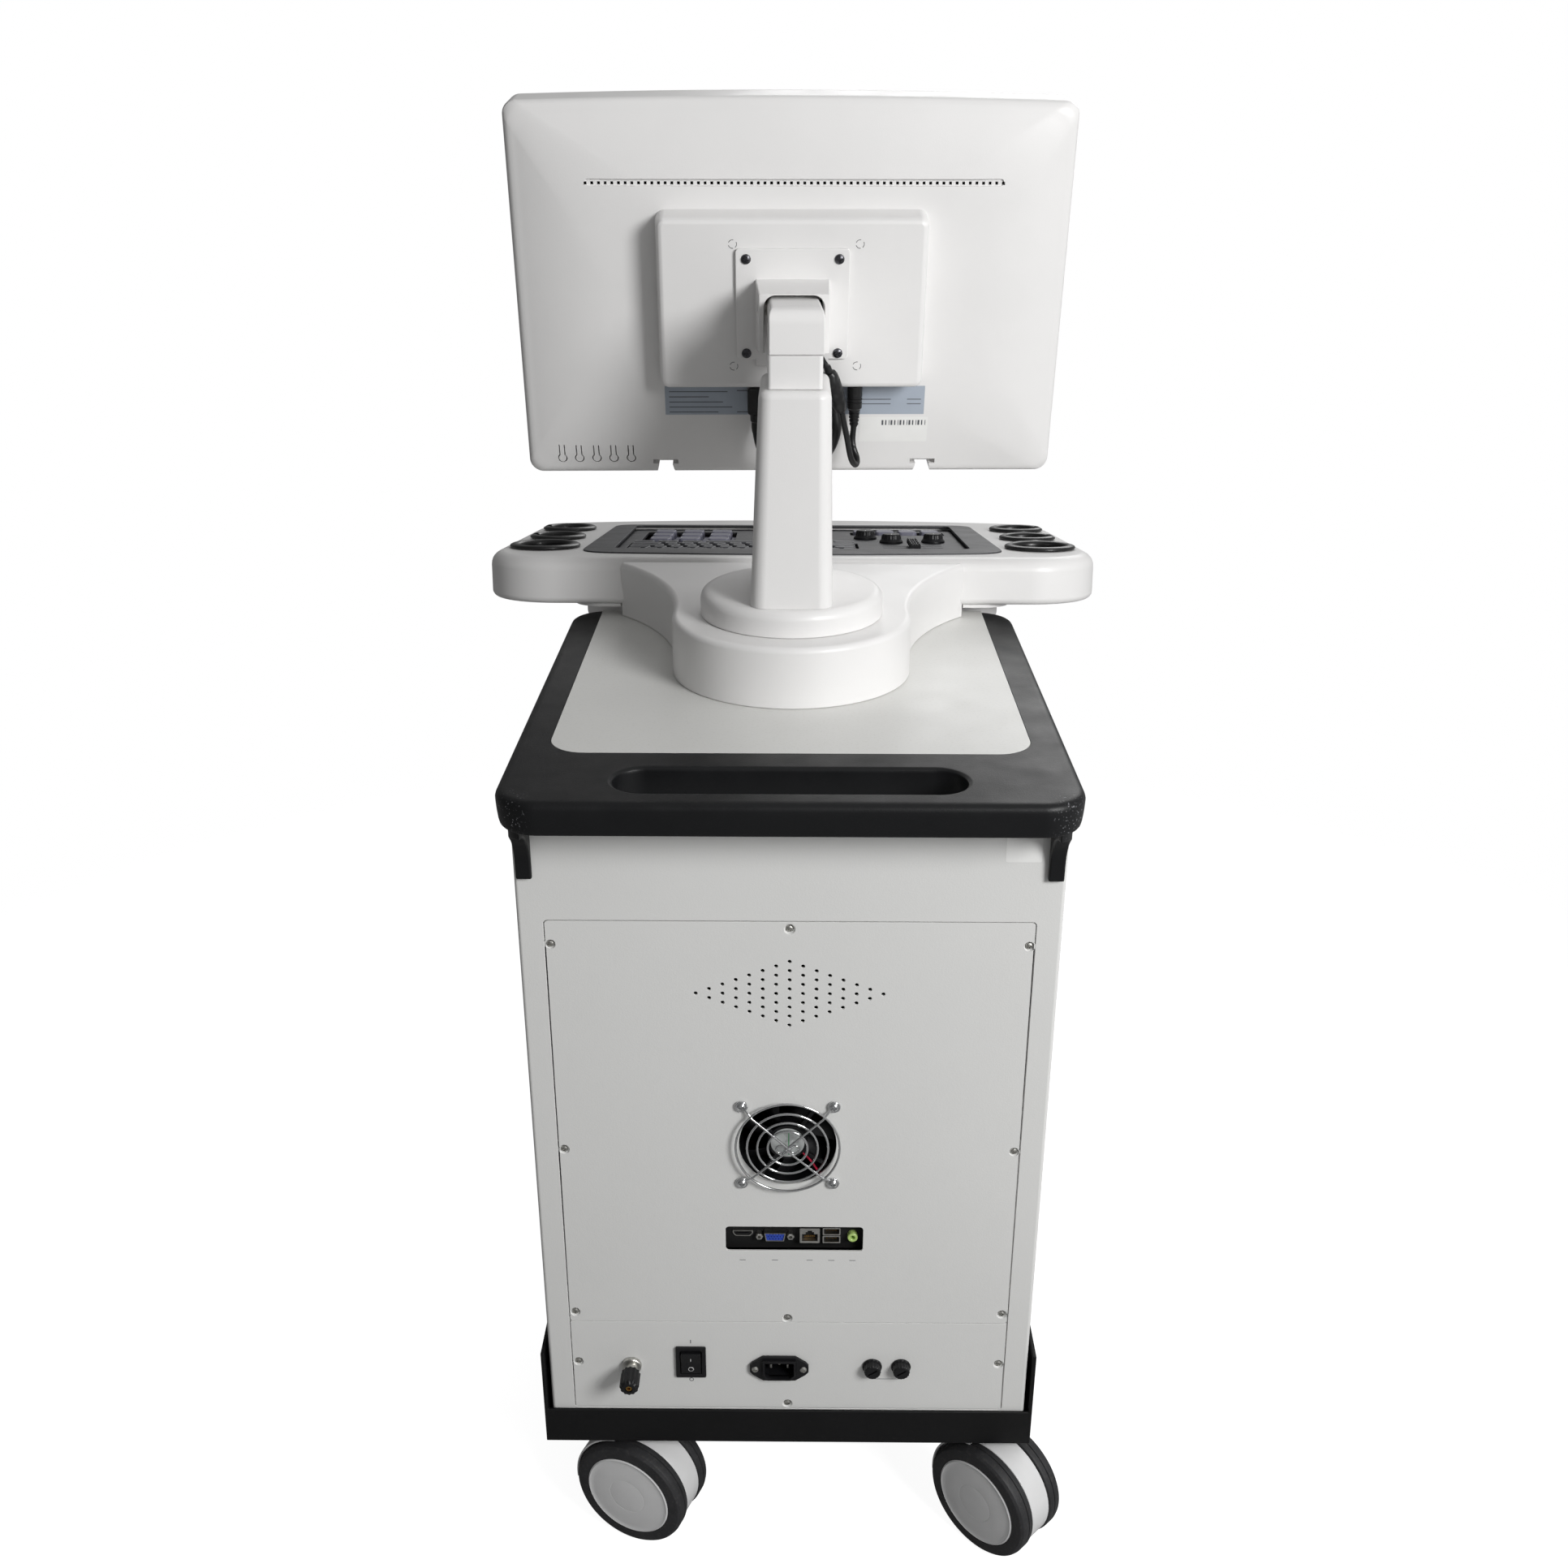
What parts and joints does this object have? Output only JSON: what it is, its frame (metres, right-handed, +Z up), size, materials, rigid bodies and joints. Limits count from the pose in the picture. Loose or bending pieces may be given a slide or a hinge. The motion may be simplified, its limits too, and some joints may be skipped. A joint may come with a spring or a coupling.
{
  "type": "trolley ultrasound scanner",
  "caption": "Wheeled ultrasound scanner: service cabinet with push handle, sloping control console with probe cups, and a tilting, swivelling monitor on a column.",
  "frame": {"origin": "on the floor under the middle of the machine's bounding box", "axes": "+Z up; the user stands on the -Y side facing +Y, so +Y is the rear service side and +X is the user's right"},
  "size_m": [0.577, 0.8136, 1.1694],
  "materials": {
    "powder_coat": "satin powder coat with a fine texture, warm off-white",
    "black_steel": "satin black powder coat",
    "black_plastic": "satin black moulded plastic",
    "laminate": "smooth off-white laminate, satin",
    "chrome_wire": "bright plated wire",
    "metal_hardware": "zinc plated",
    "supply_case": "plain sheet",
    "circuit_board": "solder mask",
    "cover_plastic": "satin off-white moulded plastic with a fine spark texture",
    "dark_grey_plastic": "matte dark grey moulded plastic",
    "lilac_keys": "matte lilac grey key caps",
    "soft_rubber": "glossy black soft rubber",
    "trackball_resin": "polished dark resin",
    "screen": "dark glossy display face",
    "cable_jacket": "satin black jacket",
    "caster_plastic": "satin mid grey moulded plastic",
    "tyre_rubber": "matte dark grey rubber tread, light grey hub caps"
  },
  "bodies": {
    "cart": {"base_tray": "black_steel", "cabinet_shell": "powder_coat", "rear_panel": "powder_coat", "power_panel": "powder_coat", "front_panel": "powder_coat", "top_frame": "black_plastic", "top_plate": "laminate", "handle_bracket_left": "black_plastic", "handle_bracket_right": "black_plastic", "io_module": "black_plastic", "fan_housing": "black_plastic", "fan_guard": "chrome_wire", "switch_body": "black_plastic", "mains_inlet": "black_plastic", "fuse_holder_left": "black_plastic", "fuse_holder_right": "black_plastic", "ground_terminal": "metal_hardware", "power_supply": "supply_case", "main_board": "circuit_board", "console_upper_shell": "cover_plastic", "console_lower_shell": "cover_plastic", "keyboard_bezel": "dark_grey_plastic", "control_deck": "dark_grey_plastic", "holder_rear_left": "soft_rubber", "holder_middle_left": "soft_rubber", "holder_front_left": "soft_rubber", "holder_rear_right": "soft_rubber", "holder_middle_right": "soft_rubber", "holder_front_right": "soft_rubber", "column_base": "cover_plastic", "column": "cover_plastic", "post": "cover_plastic"},
    "fan_rotor": {"fan_rotor": "black_plastic"},
    "power_rocker": {"power_rocker": "black_plastic"},
    "trackball": {"trackball": "trackball_resin"},
    "knob_1": {"knob_1": "black_plastic"},
    "knob_2": {"knob_2": "black_plastic"},
    "knob_3": {"knob_3": "black_plastic"},
    "tgc_slider_1": {"tgc_slider_1": "black_plastic"},
    "tgc_slider_2": {"tgc_slider_2": "black_plastic"},
    "tgc_slider_3": {"tgc_slider_3": "black_plastic"},
    "tgc_slider_4": {"tgc_slider_4": "black_plastic"},
    "alpha_keys": {"alpha_keys": "dark_grey_plastic"},
    "function_keys": {"function_keys": "lilac_keys"},
    "monitor_head": {"monitor_head": "cover_plastic"},
    "monitor": {"tilt_yoke": "cover_plastic", "tilt_axle": "metal_hardware", "monitor_back_cover": "cover_plastic", "monitor_front_bezel": "cover_plastic", "lcd_panel": "screen", "power_cable": "cable_jacket", "video_cable": "cable_jacket"},
    "caster_rear_right": {"caster_hood_rear_right": "caster_plastic"},
    "wheels_rear_right": {"caster_wheels_rear_right": "tyre_rubber"},
    "caster_rear_left": {"caster_hood_rear_left": "caster_plastic"},
    "wheels_rear_left": {"caster_wheels_rear_left": "tyre_rubber"},
    "caster_front_right": {"caster_hood_front_right": "caster_plastic"},
    "wheels_front_right": {"caster_wheels_front_right": "tyre_rubber"},
    "caster_front_left": {"caster_hood_front_left": "caster_plastic"},
    "wheels_front_left": {"caster_wheels_front_left": "tyre_rubber"}
  },
  "joints": [
    {"name": "fan_spin", "type": "hinge", "parent": "cart", "child": "fan_rotor", "pos_m": [0.001, 0.3418, 0.414], "axis": [0, 1, 0], "continuous": true},
    {"name": "power_rocker_tip", "type": "hinge", "parent": "cart", "child": "power_rocker", "pos_m": [0.081, 0.3548, 0.196], "axis": [1, 0, 0], "range_deg": [0, 13]},
    {"name": "trackball_roll", "type": "hinge", "parent": "cart", "child": "trackball", "pos_m": [0, -0.25093, 0.74018], "axis": [1, 0, 0], "continuous": true},
    {"name": "knob_1_turn", "type": "hinge", "parent": "cart", "child": "knob_1", "pos_m": [-0.076, -0.23548, 0.75245], "axis": [0, -0.1392, 0.9903], "range_deg": [-150, 150]},
    {"name": "knob_2_turn", "type": "hinge", "parent": "cart", "child": "knob_2", "pos_m": [-0.101, -0.19884, 0.7576], "axis": [0, -0.1392, 0.9903], "range_deg": [-150, 150]},
    {"name": "knob_3_turn", "type": "hinge", "parent": "cart", "child": "knob_3", "pos_m": [-0.144, -0.2028, 0.75704], "axis": [0, -0.1392, 0.9903], "range_deg": [-150, 150]},
    {"name": "tgc_slider_1_slide", "type": "slide", "parent": "cart", "child": "tgc_slider_1", "axis": [1, 0, 0], "range_m": [-0.025, 0.025]},
    {"name": "tgc_slider_2_slide", "type": "slide", "parent": "cart", "child": "tgc_slider_2", "axis": [1, 0, 0], "range_m": [-0.025, 0.025]},
    {"name": "tgc_slider_3_slide", "type": "slide", "parent": "cart", "child": "tgc_slider_3", "axis": [1, 0, 0], "range_m": [-0.025, 0.025]},
    {"name": "tgc_slider_4_slide", "type": "slide", "parent": "cart", "child": "tgc_slider_4", "axis": [1, 0, 0], "range_m": [-0.025, 0.025]},
    {"name": "alpha_keys_press", "type": "slide", "parent": "cart", "child": "alpha_keys", "axis": [0, 0.1392, -0.9903], "range_m": [0, 0.0015]},
    {"name": "function_keys_press", "type": "slide", "parent": "cart", "child": "function_keys", "axis": [0, 0.1392, -0.9903], "range_m": [0, 0.0015]},
    {"name": "monitor_swivel", "type": "hinge", "parent": "cart", "child": "monitor_head", "pos_m": [-0.0023, 0.1318, 0.99], "axis": [0, 0, 1], "range_deg": [-30, 30]},
    {"name": "monitor_tilt", "type": "hinge", "parent": "monitor_head", "child": "monitor", "pos_m": [-0.00059, 0.07736, 1.01143], "axis": [0.9995, 0.0314, 0], "range_deg": [-1.5, 12]},
    {"name": "caster_rear_right_swivel", "type": "hinge", "parent": "cart", "child": "caster_rear_right", "pos_m": [0.158, 0.3268, 0.085], "axis": [0, 0, 1], "continuous": true},
    {"name": "caster_rear_right_roll", "type": "hinge", "parent": "caster_rear_right", "child": "wheels_rear_right", "pos_m": [0.12808, 0.3395, 0.051], "axis": [-0.3907, -0.9205, 0], "continuous": true},
    {"name": "caster_rear_left_swivel", "type": "hinge", "parent": "cart", "child": "caster_rear_left", "pos_m": [-0.158, 0.3268, 0.085], "axis": [0, 0, 1], "continuous": true},
    {"name": "caster_rear_left_roll", "type": "hinge", "parent": "caster_rear_left", "child": "wheels_rear_left", "pos_m": [-0.18098, 0.34978, 0.051], "axis": [-0.7071, -0.7071, 0], "continuous": true},
    {"name": "caster_front_right_swivel", "type": "hinge", "parent": "cart", "child": "caster_front_right", "pos_m": [0.158, -0.0122, 0.085], "axis": [0, 0, 1], "continuous": true},
    {"name": "caster_front_right_roll", "type": "hinge", "parent": "caster_front_right", "child": "wheels_front_right", "pos_m": [0.12985, 0.00405, 0.051], "axis": [-0.5, -0.866, 0], "continuous": true},
    {"name": "caster_front_left_swivel", "type": "hinge", "parent": "cart", "child": "caster_front_left", "pos_m": [-0.158, -0.0122, 0.085], "axis": [0, 0, 1], "continuous": true},
    {"name": "caster_front_left_roll", "type": "hinge", "parent": "caster_front_left", "child": "wheels_front_left", "pos_m": [-0.17801, 0.01341, 0.051], "axis": [-0.788, -0.6157, 0], "continuous": true}
  ]
}
